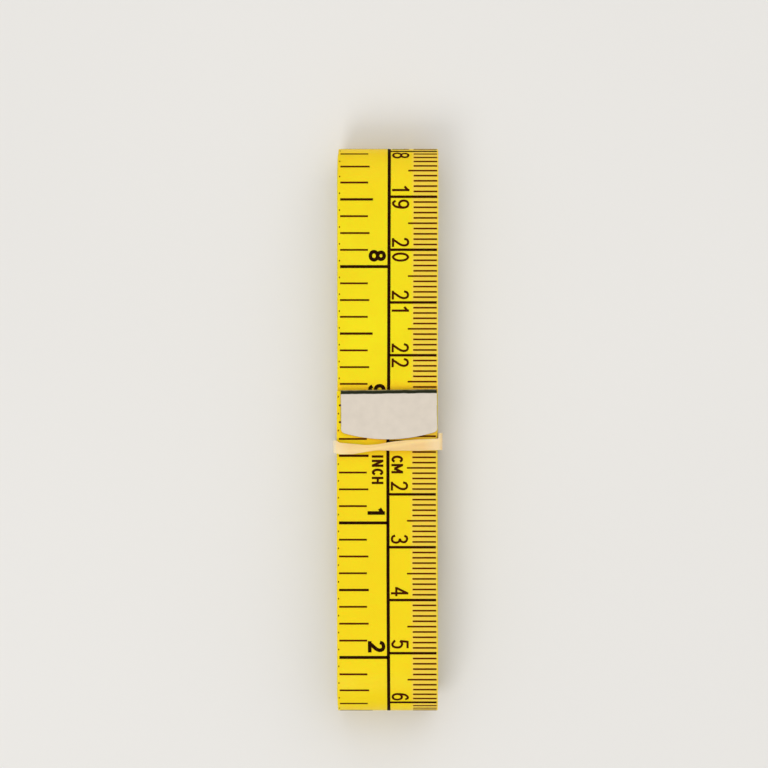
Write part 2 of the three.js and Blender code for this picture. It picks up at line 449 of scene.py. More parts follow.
def bump_node(tree, height, strength, distance, shader):
    made = add_node(tree, "ShaderNodeBump")
    made.inputs["Strength"].default_value = strength
    made.inputs["Distance"].default_value = distance * MM
    tree.links.new(height, made.inputs["Height"])
    tree.links.new(made.outputs["Normal"], shader.inputs["Normal"])


def lay_node(tree):
    """Where the surface lay while it was flat, in millimetres."""
    return add_node(tree, "ShaderNodeUVMap", uv_map="lay").outputs["UV"]


def value_node(tree, name):
    """A number that the mesh keeps at each of its points."""
    return add_node(tree, "ShaderNodeAttribute", attribute_name=name).outputs["Fac"]


def split_node(tree, vector):
    split = add_node(tree, "ShaderNodeSeparateXYZ")
    tree.links.new(vector, split.inputs[0])
    return split.outputs["X"], split.outputs["Y"], split.outputs["Z"]


def link_finish(tree, shader, colour, uneven, roughness):
    """Links the colour, and a roughness that goes from one value to another with uneven."""
    tree.links.new(colour, shader.inputs["Base Color"])
    tree.links.new(range_node(tree, uneven, 0, 1, *roughness), shader.inputs["Roughness"])


coat, tree, shader = new_material("coated_cloth")
lay = lay_node(tree)
x, u = split_node(tree, lay)[:2]
depth = value_node(tree, "depth")
warp = math_node(tree, "SINE", math_node(tree, "MULTIPLY", x, 2 * math.pi / WEAVE_PITCH))
weft = math_node(tree, "SINE", math_node(tree, "MULTIPLY", u, 2 * math.pi / WEAVE_PITCH))
weave = math_node(tree, "MULTIPLY", warp, weft)
clouds = patches_node(tree, lay, scale=0.11, low=0.35, high=0.72, detail=3)
handled = patches_node(tree, lay, scale=0.9, low=0.3, high=0.7, detail=4)
yellow = mix_node(tree, clouds, COAT_YELLOW, COAT_DEEP)
golden_lap_and_bend_shade = range_node(tree, u, *GOLDEN_UNTIL, GOLDEN_SHARE, 0)
# Golden painted shade where the outer lap bends, on top of the golden outer lap.
upper_bend_shade = window_node(tree, u, *UPPER_BEND_SHADE)
lower_bend_shade = window_node(tree, u, *LOWER_BEND_SHADE)
golden_lap_and_bend_shade = math_node(tree, "MULTIPLY_ADD", upper_bend_shade, UPPER_BEND_SHADE_SHARE, golden_lap_and_bend_shade)
golden_lap_and_bend_shade = math_node(tree, "MULTIPLY_ADD", lower_bend_shade, LOWER_BEND_SHADE_SHARE, golden_lap_and_bend_shade)
golden = mix_node(tree, golden_lap_and_bend_shade, yellow, COAT_GOLDEN)
inked = math_node(tree, "MULTIPLY", window_node(tree, x, *FINE_TICKS), FINE_TICKS_SHARE)
toned = mix_node(tree, inked, golden, COAT_INKED)
# Painted shade: the coat turns orange along the fold and bowed edge of the zero clip and beside the
# band.
fold_shade = math_node(tree, "MULTIPLY", window_node(tree, u, *FOLD_PAINTED_SHADE), FOLD_PAINTED_SHADE_SHARE)
aside = math_node(tree, "POWER", math_node(tree, "DIVIDE", x, CLIP_HALF), 2.0)
past_bow = math_node(tree, "SUBTRACT", u, BOW_AT)
past_bow = math_node(tree, "ADD", math_node(tree, "MULTIPLY", aside, CLIP_BOW), past_bow)
band_shade = math_node(tree, "MULTIPLY", window_node(tree, u, *BAND_PAINTED_SHADE), BAND_PAINTED_SHADE_SHARE)
waist_shade = math_node(tree, "MAXIMUM", window_node(tree, past_bow, *BOW_PAINTED_SHADE), band_shade)
waist_shade = math_node(tree, "MULTIPLY", waist_shade, range_node(tree, aside, 0, 1, 1, BOW_PAINTED_SHADE_SIDES))
with_painted_shade = mix_node(tree, math_node(tree, "MAXIMUM", fold_shade, waist_shade), toned, COAT_PAINTED_SHADE)
through = mix_node(tree, range_node(tree, depth, *YELLOW_DEPTH), with_painted_shade, SLIT_PALE)
both_faces = mix_node(tree, range_node(tree, depth, *WHITE_DEPTH), through, COAT_WHITE)
link_finish(tree, shader, both_faces, handled, COAT_ROUGHNESS)
shader.inputs["Specular IOR Level"].default_value = 0.18
shader.inputs["Subsurface Weight"].default_value = 0.3
shader.inputs["Subsurface Radius"].default_value = (1.0, 0.4, 0.05)
shader.inputs["Subsurface Scale"].default_value = 0.0006
bump_node(tree, weave, strength=0.25, distance=0.012, shader=shader)
for strip in (tape_winding, tape_lead):
    strip.data.materials.append(coat)

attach(tape_winding, "bundle")
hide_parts("wound_tape")
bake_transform(tape_lead)
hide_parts("tape_free_end")

# Scale: printed on the flat tape in one dark ink, centimetres along the right edge and inches
# along the left, with a line between them. The ticks of one centimetre and of one inch are
# drawn once and stepped along the tape, and the figures are drawn with a pen of even width.
INK_TOP = 0.024
INK_ROOT = -0.03
LEFT_EDGE = -TAPE_HALF - 0.17  # across the tape, the scale is measured from here
SCALE_START = -0.19
CM = 10.0
INCH = 25.4
CM_MARKS = int(TAPE_LENGTH / CM) - 1
INCH_MARKS = int(TAPE_LENGTH / INCH)
CENTRE_LINE = (9.56, 10.16)
LINE_OVERLAP = 0.2
CM_TICK_FROM = 14.48
CM_HALF_FROM = 13.45
CM_TICK_TO = 18.93
CM_TICK = 0.31
CM_LINE = 0.48
INCH_TICK_FROM = 0.6
INCH_LINE_TO = 9.85
INCH_HALF_TO = {"first": 6.2, "later": 6.8}
INCH_QUARTER_TO = 6.15
INCH_EIGHTH_TO = 5.86
INCH_LINE = 0.56
INCH_HALF = 0.44
INCH_TICK = 0.34
SHORT_HALVES = 2  # inches, from the zero end, whose half mark is short
EDGE_DOT = (0.39, 0.57)
EDGE_DOT_LONG = 0.3
EDGE_DOT_FIRST = 1.55
EDGE_DOT_STEP = 3.183
EDGE_DOTS = int((TAPE_LENGTH - EDGE_DOT_FIRST) / EDGE_DOT_STEP)
THIN_LINE = 0.28
FULL_LINE = 0.52


def lay_film(mesh, widths):
    """Keeps how heavy the ink lies: a fine line takes a thin film, a broad one a full film."""
    lay_value(mesh, "film", np.clip((widths - THIN_LINE) / (FULL_LINE - THIN_LINE), 0, 1))


def ink_bar(x_from, x_to, u, width):
    """One tick: a flat bar of ink across the tape, rooted in the coat."""
    bpy.ops.mesh.primitive_cube_add(
        size=1,
        location=(
            (LEFT_EDGE + (x_from + x_to) / 2) * MM,
            -(SCALE_START + u) * MM,
            (INK_TOP + INK_ROOT) / 2 * MM,
        ),
        scale=((x_to - x_from) * MM, width * MM, (INK_TOP - INK_ROOT) * MM),
    )
    bar = bpy.context.object
    lay_film(bar.data, np.full(len(bar.data.vertices), width))
    return bar


def join(pieces, name):
    bpy.ops.object.select_all(action="DESELECT")
    for piece in pieces:
        piece.select_set(True)
    bpy.context.view_layer.objects.active = pieces[0]
    bpy.ops.object.join()
    joined = bpy.context.object
    joined.name = name
    bpy.ops.object.transform_apply(location=True, rotation=True, scale=True)
    return joined


def step_along(piece, count, length):
    steps = piece.modifiers.new("steps", "ARRAY")
    steps.use_relative_offset = False
    steps.use_constant_offset = True
    steps.constant_offset_displace = (0, -length * MM, 0)
    steps.count = count
    apply_modifiers(piece)


def inch_ticks(name, from_inch, count):
    """Ticks of like inches, eight to the inch."""
    reaches = {2: INCH_QUARTER_TO, 4: INCH_HALF_TO[name], 6: INCH_QUARTER_TO, 8: INCH_LINE_TO}
    widths = {4: INCH_HALF, 8: INCH_LINE}
    bars = []
    for eighth in range(1, 9):
        u = (from_inch + eighth / 8) * INCH
        reach = reaches.get(eighth, INCH_EIGHTH_TO)
        bars.append(ink_bar(INCH_TICK_FROM, reach, u, widths.get(eighth, INCH_TICK)))
    ticks = join(bars, "inch_scale_" + name)
    step_along(ticks, count, INCH)
    return ticks


bpy.ops.object.select_all(action="DESELECT")
cm_bars = []
for k in range(1, 10):
    cm_bars.append(ink_bar(CM_HALF_FROM if k == 5 else CM_TICK_FROM, CM_TICK_TO, k, CM_TICK))
cm_bars.append(ink_bar(CENTRE_LINE[1] - LINE_OVERLAP, CM_TICK_TO, CM, CM_LINE))
cm_scale = join(cm_bars, "cm_scale")
step_along(cm_scale, CM_MARKS, CM)
first_inches = inch_ticks("first", 0, SHORT_HALVES)
later_inches = inch_ticks("later", SHORT_HALVES, INCH_MARKS - SHORT_HALVES)
edge_dots = join([ink_bar(*EDGE_DOT, EDGE_DOT_FIRST, EDGE_DOT_LONG)], "edge_dots")
step_along(edge_dots, EDGE_DOTS, EDGE_DOT_STEP)

centre_line, side, u = strip_grid("centre_line", columns=1)
line_x = LEFT_EDGE + np.where(side < 0, *CENTRE_LINE)
set_vertices(centre_line, np.column_stack([line_x, -u, 0 * u + INK_TOP]) * MM)
thicken(centre_line, INK_TOP - INK_ROOT, offset=-1)
apply_modifiers(centre_line)
line_width = CENTRE_LINE[1] - CENTRE_LINE[0]
lay_film(centre_line.data, np.full(len(centre_line.data.vertices), line_width))

# Pen paths of the figures in a box one unit wide and high: "line" is a straight stroke with
# square ends, "curve" is smoothed through its points, and "loop" is a closed curve.
PEN_PATHS = {
    "0": [
        ("loop", [
            (0.5, 1), (0.12, 0.83), (0, 0.5), (0.12, 0.17),
            (0.5, 0), (0.88, 0.17), (1, 0.5), (0.88, 0.83),
        ]),
    ],
    "1": [("line", [(0.13, 0.76), (0.62, 0.97)]), ("line", [(0.62, 1), (0.62, 0)])],
    "2": [
        ("curve", [
            (0, 0.74), (0.14, 0.93), (0.5, 1), (0.84, 0.93),
            (0.96, 0.72), (0.8, 0.47), (0.4, 0.2), (0.12, 0),
        ]),
        ("line", [(0.06, 0), (1, 0)]),
    ],
    "3": [
        ("curve", [
            (0.02, 0.82), (0.18, 0.96), (0.5, 1), (0.86, 0.9),
            (0.92, 0.73), (0.76, 0.57), (0.42, 0.53),
        ]),
        ("curve", [
            (0.42, 0.53), (0.84, 0.47), (1, 0.27), (0.86, 0.06),
            (0.5, 0), (0.15, 0.05), (0, 0.21),
        ]),
    ],
    "4": [
        ("line", [(0.74, 0), (0.74, 1)]),
        ("line", [(0.70, 0.98), (0.02, 0.32)]),
        ("line", [(0, 0.28), (1, 0.28)]),
    ],
    "5": [
        ("line", [(0.94, 1), (0.2, 1)]),
        ("line", [(0.19, 1), (0.09, 0.54)]),
        ("curve", [
            (0.07, 0.5), (0.3, 0.62), (0.56, 0.64), (0.9, 0.54),
            (1, 0.32), (0.86, 0.07), (0.48, 0), (0, 0.18),
        ]),
    ],
    "6": [
        ("curve", [(0.95, 0.83), (0.8, 0.96), (0.53, 1), (0.15, 0.84), (0.01, 0.5), (0.01, 0.3)]),
        ("loop", [
            (0.5, 0.61), (0.14, 0.52), (0, 0.3), (0.14, 0.08),
            (0.5, 0), (0.86, 0.08), (1, 0.3), (0.86, 0.52),
        ]),
    ],
    "7": [("line", [(0, 1), (1, 1)]), ("line", [(0.97, 0.97), (0.36, 0)])],
    "8": [
        ("loop", [
            (0.5, 1), (0.2, 0.94), (0.07, 0.77), (0.2, 0.59),
            (0.5, 0.53), (0.8, 0.59), (0.93, 0.77), (0.8, 0.94),
        ]),
        ("loop", [
            (0.5, 0.53), (0.14, 0.45), (0, 0.26), (0.14, 0.07),
            (0.5, 0), (0.86, 0.07), (1, 0.26), (0.86, 0.45),
        ]),
    ],
    "9": [
        ("curve", [(0.05, 0.17), (0.2, 0.04), (0.47, 0), (0.85, 0.16), (0.99, 0.5), (0.99, 0.7)]),
        ("loop", [
            (0.5, 1), (0.14, 0.92), (0, 0.7), (0.14, 0.48),
            (0.5, 0.39), (0.86, 0.48), (1, 0.7), (0.86, 0.92),
        ]),
    ],
    "C": [
        ("curve", [
            (1, 0.78), (0.82, 0.94), (0.5, 1), (0.13, 0.83), (0, 0.5),
            (0.13, 0.17), (0.5, 0), (0.82, 0.06), (1, 0.22),
        ]),
    ],
    "H": [("line", [(0, 0), (0, 1)]), ("line", [(1, 0), (1, 1)]), ("line", [(0, 0.52), (1, 0.52)])],
    "I": [("line", [(0.5, 0), (0.5, 1)])],
    "M": [
        ("line", [(0, 0), (0, 1)]),
        ("line", [(0.04, 0.98), (0.5, 0.22)]),
        ("line", [(0.5, 0.22), (0.96, 0.98)]),
        ("line", [(1, 1), (1, 0)]),
    ],
    "N": [("line", [(0, 0), (0, 1)]), ("line", [(0.04, 1), (0.96, 0)]), ("line", [(1, 0), (1, 1)])],
}
PEN_STEP = 0.3
SQUARE_TIP = 0.5  # of the pen's width, past the end of an upright or level stroke
SLANT_TIP = 0.12
UPRIGHT = 0.01
MITER_LIMIT = 0.7
INK_LAP = 0.004


def pen_points(kind, path, box, pen):
    """Points that the pen goes through: two to each span of a curve, and on a line, which has
    square ends, enough for it to follow the tape round a bend."""
    spots = np.array(path, float) * (box[0] - pen, box[1] - pen) + pen / 2
    if kind == "line":
        way = spots[1] - spots[0]
        long = np.linalg.norm(way)
        upright = np.abs(way).min() < UPRIGHT * long
        tip = way / long * pen * (SQUARE_TIP if upright else SLANT_TIP)
        steps = math.ceil(abs(way[0]) / PEN_STEP) + 1
        return np.linspace(spots[0] - tip, spots[1] + tip, steps + 1)
    if kind == "loop":
        around = np.vstack([spots[-1:], spots, spots[:2]])
    else:
        around = np.vstack([2 * spots[:1] - spots[1:2], spots, 2 * spots[-1:] - spots[-2:-1]])
    made = []
    for i in range(1, len(around) - 2):
        a, b, c, d = around[i - 1:i + 3]
        made.append(b)
        made.append((9 * (b + c) - a - d) / 16)  # half way on the smooth curve from b to c
    if kind == "curve":
        made.append(spots[-1])
    return np.array(made)


def pen_stroke(spots, width, closed, top):
    """Closed bar of ink of that width along the points, as corners and faces."""
    ahead = np.roll(spots, -1, axis=0) - spots
    ahead /= np.linalg.norm(ahead, axis=1)[:, None]
    behind = np.roll(ahead, 1, axis=0)
    if not closed:
        ahead[-1] = behind[-1]
        behind[0] = ahead[0]
    travel = ahead + behind
    travel /= np.linalg.norm(travel, axis=1)[:, None]
    miter = width / 2 / np.clip((travel * ahead).sum(axis=1), MITER_LIMIT, 1)
    aside = np.column_stack([-travel[:, 1], travel[:, 0]]) * miter[:, None]
    count = len(spots)
    corners = np.empty((count, 4, 3))
    corners[:, 0, :2] = corners[:, 3, :2] = spots + aside
    corners[:, 1, :2] = corners[:, 2, :2] = spots - aside
    corners[:, :2, 2] = top
    corners[:, 2:, 2] = INK_ROOT
    faces = []
    for i in range(count if closed else count - 1):
        k = (i + 1) % count
        for side in range(4):
            turn = (side + 1) % 4
            faces.append((4 * i + side, 4 * i + turn, 4 * k + turn, 4 * k + side))
    if not closed:
        faces.append((3, 2, 1, 0))
        faces.append(tuple(4 * (count - 1) + side for side in range(4)))
    return corners.reshape(-1, 3), faces


def gather(shapes):
    """Several shapes, each given as its corners and faces, as one."""
    corners, faces = [], []
    start = 0
    for some, sides in shapes:
        corners.append(some)
        faces += [tuple(start + v for v in side) for side in sides]
        start += len(some)
    return np.vstack(corners), faces


def letter(sign, wide, high, pen):
    """One figure or letter, its outer box that wide and high, lower left corner at the origin.
    Where strokes cross, each lies a hair higher than the one before, as wet ink does."""
    strokes = []
    for order, (kind, path) in enumerate(PEN_PATHS[sign]):
        spots = pen_points(kind, path, (wide, high), pen)
        strokes.append(pen_stroke(spots, pen, kind == "loop", INK_TOP + INK_LAP * order))
    return gather(strokes)


printed_shapes = []
printed_pens = []


def print_sign(sign, baseline, u, wide, high, pen):
    """Prints a sign on the flat tape, reading along it, its top towards the right edge."""
    corners, faces = letter(sign, wide, high, pen)
    x = LEFT_EDGE + baseline + corners[:, 1]
    y = -(SCALE_START + u + corners[:, 0])
    printed_shapes.append((np.column_stack([x, y, corners[:, 2]]) * MM, faces))
    printed_pens.append(np.full(len(corners), pen))


CM_FIGURE = {"baseline": 10.40, "wide": 1.74, "high": 3.28, "pen": 0.41}
INCH_FIGURE = {"baseline": 6.0, "wide": 2.22, "high": 3.28, "pen": 0.67}
CM_BEFORE = 0.55
CM_ALONE = {1: 0.7, 2: 0.72, 3: 0.66, 4: 0.73, 5: 0.87, 6: 0.52, 7: 0.6, 8: 0.6, 9: 0.6}
CM_AFTER = 0.52
INCH_BEFORE = 0.95
FIGURE_GAP = 0.45


def print_before(signs, mark, gap, size):
    """Prints a row of signs that ends that gap before its mark."""
    place = mark - gap - size["wide"]
    for sign in reversed(signs):
        print_sign(sign, u=place, **size)
        place -= size["wide"] + FIGURE_GAP


# From 10 cm on, the last figure of a number stands after its mark.
for number in range(1, CM_MARKS + 1):
    signs = str(number)
    if len(signs) > 1:
        print_sign(signs[-1], u=CM * number + CM_AFTER, **CM_FIGURE)
        signs = signs[:-1]
    print_before(signs, CM * number, CM_ALONE.get(number, CM_BEFORE), CM_FIGURE)
for number in range(1, INCH_MARKS + 1):
    print_before(str(number), INCH * number, INCH_BEFORE, INCH_FIGURE)

# Each unit word has its baseline, height and pen, then the place and width of each letter.
UNIT_WORDS = [
    (10.52, 2.2, 0.44, [("C", 12.66, 1.36), ("M", 14.25, 1.78)]),
    (6.81, 2.18, 0.44, [("I", 12.62, 0.44), ("N", 13.46, 1.34), ("C", 15.13, 1.3), ("H", 16.68, 1.38)]),
]
for baseline, high, pen, signs in UNIT_WORDS:
    for sign, u, wide in signs:
        print_sign(sign, baseline, u, wide, high, pen)


def face_out(piece):
    select_only(piece)
    bpy.ops.object.mode_set(mode="EDIT")
    bpy.ops.mesh.select_all(action="SELECT")
    bpy.ops.mesh.normals_make_consistent(inside=False)
    bpy.ops.object.mode_set(mode="OBJECT")


PRINT_SMOOTH = 25
corners, faces = gather(printed_shapes)
figure_mesh = bpy.data.meshes.new("figures")
figure_mesh.from_pydata(corners.tolist(), [], faces)
lay_film(figure_mesh, np.concatenate(printed_pens))
figures = bpy.data.objects.new("figures", figure_mesh)
bpy.context.scene.collection.objects.link(figures)
print_parts = [centre_line, cm_scale, first_inches, later_inches, edge_dots, figures]
scale_print = join(print_parts, "scale_print")
drop_uv(scale_print)
face_out(scale_print)
lay_uv(scale_print)
scale_print_lead = copy_of(scale_print, "scale_print_lead")
cut_across(scale_print, BAND_CUT, keep_zero_end=False)
cut_across(scale_print_lead, BAND_CUT, keep_zero_end=True)

INK_BLACK = (0.016, 0.003, 0.0002, 1)
INK_WORN = (0.032, 0.010, 0.001, 1)
INK_BROWN = (0.11, 0.014, 0.0005, 1)
INK_ROUGHNESS = (0.50, 0.62)
ink, tree, shader = new_material("printing_ink")
worn = patches_node(tree, lay_node(tree), scale=1.7, low=0.45, high=0.75, detail=4)
heavy = mix_node(tree, worn, INK_BLACK, INK_WORN)
film = mix_node(tree, value_node(tree, "film"), INK_BROWN, heavy)
link_finish(tree, shader, film, worn, INK_ROUGHNESS)
shader.inputs["Specular IOR Level"].default_value = 0.02
for print_part in (scale_print, scale_print_lead):
    wind(print_part)
    print_part.data.materials.append(ink)
    shade(print_part, PRINT_SMOOTH)
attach(scale_print, "bundle")
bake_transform(scale_print_lead)

# Clips: one on each end of the tape, cut from thin nickel-plated sheet with both ends of the
# blank bowed, so that the cut edges are raw, then folded over the tape and crimped flat. The
# fold has a dark painted reflection and shade along it. The far clip is in the core.
CLIP_LENGTH = 9.4
CLIP_CORNER = 0.6
CLIP_SHEET = 0.25
CLIP_EDGE = 0.035
CLIP_COLUMNS = 44
CLIP_ROWS = 52
ROW_CROWDING = 1.7  # rows lie closer together towards the fold
CLIP_SMOOTH = 15
FLAT_FACE = 0.97
FOLD_RADIUS = 0.325
FOLD_TURN = math.pi / 2 * FOLD_RADIUS
CRIMP_WAVE = 0.012
WAVE_ACROSS = 1.9
WAVE_ALONG = 2.3
WAVE_STARTS = (0.6, 0.4)
WAVE_FROM = 1.0  # past the fold
WAVE_RISE = 2.0
ZERO_CLIP_ASIDE = 0.35
ZERO_CLIP_ASKEW = math.radians(0.65)


def clip_blank(name):
    """Flat blank of a clip, x across and y along it, with the fold at y = 0."""
    bpy.ops.object.select_all(action="DESELECT")
    bpy.ops.mesh.primitive_grid_add(x_subdivisions=CLIP_COLUMNS, y_subdivisions=CLIP_ROWS, size=2)
    blank = bpy.context.object
    blank.name = name
    drop_uv(blank)
    grid = vertices_of(blank)
    x = CLIP_HALF * np.sin(grid[:, 0] * math.pi / 2)
    past_corner = np.clip(np.abs(x) - (CLIP_HALF - CLIP_CORNER), 0, CLIP_CORNER)
    corner = CLIP_CORNER - np.sqrt(CLIP_CORNER ** 2 - past_corner ** 2)
    straight = CLIP_LENGTH - CLIP_SHEET / 2 - FOLD_RADIUS
    length = FOLD_TURN + straight - CLIP_BOW * (x / CLIP_HALF) ** 2 - corner
    y = np.sign(grid[:, 1]) * np.abs(grid[:, 1]) ** ROW_CROWDING * length
    set_vertices(blank, np.column_stack([x, y, 0 * x]) * MM)
    thicken(blank, CLIP_SHEET, offset=0)
    bevel_edges(blank, CLIP_EDGE, segments=2)
    apply_modifiers(blank)
    lay_uv(blank)
    shade(blank, CLIP_SMOOTH)
    for face in blank.data.polygons:
        face.material_index = 0 if abs(face.normal.z) > FLAT_FACE else 1
    return blank


def fold_clip(blank, aside, end, height, towards, askew):
    """Folds a blank over the end of the tape: towards is 1 for the fold facing up the tape."""
    flat = vertices_of(blank) / MM
    x, s, sheet_height = flat.T
    wave = CRIMP_WAVE * np.sin(x / WAVE_ACROSS + WAVE_STARTS[0])
    wave *= np.sin(s / WAVE_ALONG + WAVE_STARTS[1])
    wave *= np.clip((np.abs(s) - WAVE_FROM) / WAVE_RISE, 0, 1)
    radius = FOLD_RADIUS + sheet_height + wave
    angle = np.clip(s / FOLD_RADIUS, -math.pi / 2, math.pi / 2)
    past_fold = np.maximum(np.abs(s) - FOLD_TURN, 0)
    fold_centre = end - CLIP_SHEET / 2 - FOLD_RADIUS
    y = fold_centre + radius * np.cos(angle) - past_fold
    z = radius * np.sin(angle)
    middle = end - CLIP_LENGTH / 2
    turned_x = x * math.cos(askew) - (y - middle) * math.sin(askew)
    turned_y = middle + x * math.sin(askew) + (y - middle) * math.cos(askew)
    folded = [aside + towards * turned_x, towards * turned_y + CENTRE_Y, height + CENTRE_Z + z]
    set_vertices(blank, np.column_stack(folded) * MM)


zero_clip = clip_blank("zero_clip")
far_clip = copy_of(zero_clip, "far_clip")
fold_clip(zero_clip, ZERO_CLIP_ASIDE, ZERO_END, pass_height(0), 1, ZERO_CLIP_ASKEW)
fold_clip(far_clip, 0.0, FAR_END, pass_height(PASSES), -1, 0.0)

NICKEL = (0.78, 0.705, 0.61, 1)
NICKEL_DULL = (0.73, 0.66, 0.57, 1)
EDGE_GREY = (0.34, 0.31, 0.26, 1)
EDGE_DARK = (0.22, 0.20, 0.16, 1)
# Painted dark reflection and shade along the fold of each clip.
FOLD_PAINTED_DARK = (0.020, 0.024, 0.012, 1)
FOLD_PAINTED_DARK_SPAN = (0.05, 0.32, 0.76, 0.90)  # millimetres round the fold, from its middle
FOLD_PAINTED_DARK_UNEVEN = 0.08
BRUSHING = (0.35, 9.0, 1.0)  # marks run across the clip
PLATE_ROUGHNESS = (0.30, 0.44)
EDGE_ROUGHNESS = (0.5, 0.65)
plate, tree, shader = new_material("nickel_plate")
lay = lay_node(tree)
from_fold = math_node(tree, "ABSOLUTE", split_node(tree, lay)[1])
mottle = patches_node(tree, lay, scale=0.5, low=0.35, high=0.7, detail=4)
stretch = add_node(tree, "ShaderNodeMapping")
stretch.inputs["Scale"].default_value = BRUSHING
tree.links.new(lay, stretch.inputs["Vector"])
brushing = patches_node(tree, stretch.outputs["Vector"], scale=1.0, low=0.25, high=0.75, detail=3)
# Painted dark reflection and shade on the fold, with an uneven border.
uneven = math_node(tree, "MULTIPLY_ADD", mottle, FOLD_PAINTED_DARK_UNEVEN, -FOLD_PAINTED_DARK_UNEVEN / 2)
fold_painted_dark = window_node(tree, math_node(tree, "ADD", from_fold, uneven), *FOLD_PAINTED_DARK_SPAN)
metal = mix_node(tree, mottle, NICKEL, NICKEL_DULL)
link_finish(tree, shader, mix_node(tree, fold_painted_dark, metal, FOLD_PAINTED_DARK), brushing, PLATE_ROUGHNESS)
shader.inputs["Metallic"].default_value = 1.0
bump_node(tree, brushing, strength=0.12, distance=0.01, shader=shader)
cut_edge, tree, shader = new_material("cut_edge")
sheared = patches_node(tree, lay_node(tree), scale=2.5, low=0.3, high=0.7)
link_finish(tree, shader, mix_node(tree, sheared, EDGE_GREY, EDGE_DARK), sheared, EDGE_ROUGHNESS)
shader.inputs["Metallic"].default_value = 1.0
for clip in (zero_clip, far_clip):
    clip.data.materials.append(plate)
    clip.data.materials.append(cut_edge)
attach(zero_clip, "free_end")
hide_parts("zero_end_clip")
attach(far_clip, "bundle")
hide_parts("far_end_clip")

# Band: a loop cut from a cream rubber tube, stretched round the waist just below the zero clip.
# It lies askew, higher on the right, and has rolled over itself on the front, so that it is
# narrower in the middle, with a crease from its lower left to its upper right, which carries
# a painted highlight.
BAND_WALL = 0.68
BAND_SLACK = 0.19
BAND_LOOSE_RIGHT = 0.28
BAND_LOOSE_LEFT = 0.10
BAND_CORNER = 0.2
BAND_RIM = 0.2
BAND_SMOOTH = 60
BAND_ACROSS = 18
BAND_FRONT = 64
BAND_SIDE = 12
BAND_TURN = 8
TUBE_DEPTH = 2
WAIST_TOP = pass_height(0) + FACE_ABOVE_LINE + CENTRE_Z
WAIST_BOTTOM = -pass_height(1) - FACE_ABOVE_LINE + CENTRE_Z


def band_loop():
    """Inside of the loop in the XZ plane, from the right side anticlockwise."""
    right = TAPE_HALF + BAND_LOOSE_RIGHT - BAND_CORNER
    left = -TAPE_HALF - BAND_LOOSE_LEFT + BAND_CORNER
    top = WAIST_TOP + BAND_SLACK - BAND_CORNER
    bottom = WAIST_BOTTOM - BAND_SLACK + BAND_CORNER
    corners = np.array([(right, top), (left, top), (left, bottom), (right, bottom)])
    counts = [BAND_FRONT, BAND_SIDE, BAND_FRONT, BAND_SIDE]
    turn = np.linspace(0, math.pi / 2, BAND_TURN + 1)
    runs = []
    for i, corner in enumerate(corners):
        angle = turn + i * math.pi / 2
        arc = BAND_CORNER * np.column_stack([np.cos(angle), np.sin(angle)])
        leave = corner + arc[-1]
        meet = corners[(i + 1) % 4] + arc[-1]
        share = np.linspace(0, 1, counts[i] + 1)[:-1, None]
        runs.append(corner + arc[:-1])
        runs.append(leave + (meet - leave) * share)
    return np.vstack(runs)


def select_runs(piece):
    """Selects the edges that run from one rim of the tube to the other."""
    bpy.ops.object.mode_set(mode="EDIT")
    bpy.ops.mesh.select_mode(type="EDGE")
    bpy.ops.mesh.select_all(action="DESELECT")
    bpy.ops.object.mode_set(mode="OBJECT")
    for run in piece.data.edges:
        heights = [piece.data.vertices[v].co.z for v in run.vertices]
        run.select = abs(heights[0] - heights[1]) > TUBE_DEPTH / 2


loop = band_loop()
bpy.ops.object.select_all(action="DESELECT")
bpy.ops.mesh.primitive_cylinder_add(
    vertices=len(loop), radius=1, depth=TUBE_DEPTH, end_fill_type="NOTHING"
)
rubber_loop = bpy.context.object
rubber_loop.name = "rubber_loop"
select_runs(rubber_loop)
bpy.ops.object.mode_set(mode="EDIT")
bpy.ops.mesh.subdivide(number_cuts=BAND_ACROSS - 1)
bpy.ops.object.mode_set(mode="OBJECT")
tube = vertices_of(rubber_loop)
angle = np.arctan2(tube[:, 1], tube[:, 0])
place = np.rint(angle / (2 * math.pi) * len(loop)).astype(int) % len(loop)
x, z = loop[place].T

# The upper and lower edges of the band across the front, and at both sides of the back.
FRONT_PLACES = [-9.6, -9.3, -6.4, -4.0, -1.9, -0.5, 1.1, 3.3, 5.9, 7.6, 9.2]
FRONT_UPPER = [-1.7, -2.38, -2.62, -2.84, -2.72, -2.45, -2.18, -1.95, -1.77, -1.71, -1.66]
FRONT_LOWER = [-4.25, -4.58, -4.56, -4.10, -3.80, -3.84, -3.91, -3.86, -3.92, -3.80, -3.78]
FRONT_EASE = (-0.3, -0.1, 0.1, 0.3)
RIGHT_TURN = (9.57, 9.63)
RIGHT_RISE = 1.1
BACK_PLACES = [-9.7, 9.7]
BACK_UPPER = [-2.15, -1.55]
BACK_LOWER = [-4.45, -3.85]


def edge_of_band(front, back, on_front):
    """An edge of the band, with its bends eased, from its run on the front and on the back."""
    across = sum(np.interp(x + ease, FRONT_PLACES, front) for ease in FRONT_EASE) / len(FRONT_EASE)
    behind = np.interp(x, BACK_PLACES, back)
    return behind + (across - behind) * on_front


on_front = eased(np.clip((z - WAIST_BOTTOM) / (WAIST_TOP - WAIST_BOTTOM), 0, 1))
upper = edge_of_band(FRONT_UPPER, BACK_UPPER, on_front)
upper += RIGHT_RISE * eased(np.interp(x, RIGHT_TURN, [0, 1])) * on_front
lower = edge_of_band(FRONT_LOWER, BACK_LOWER, on_front)
y = (upper + lower) / 2 + tube[:, 2] * (upper - lower) / 2
set_vertices(rubber_loop, np.column_stack([x, y, z]) * MM)
face_out(rubber_loop)
drop_uv(rubber_loop)
thicken(rubber_loop, BAND_WALL, offset=1)
bevel_edges(rubber_loop, BAND_RIM, segments=3)
apply_modifiers(rubber_loop)

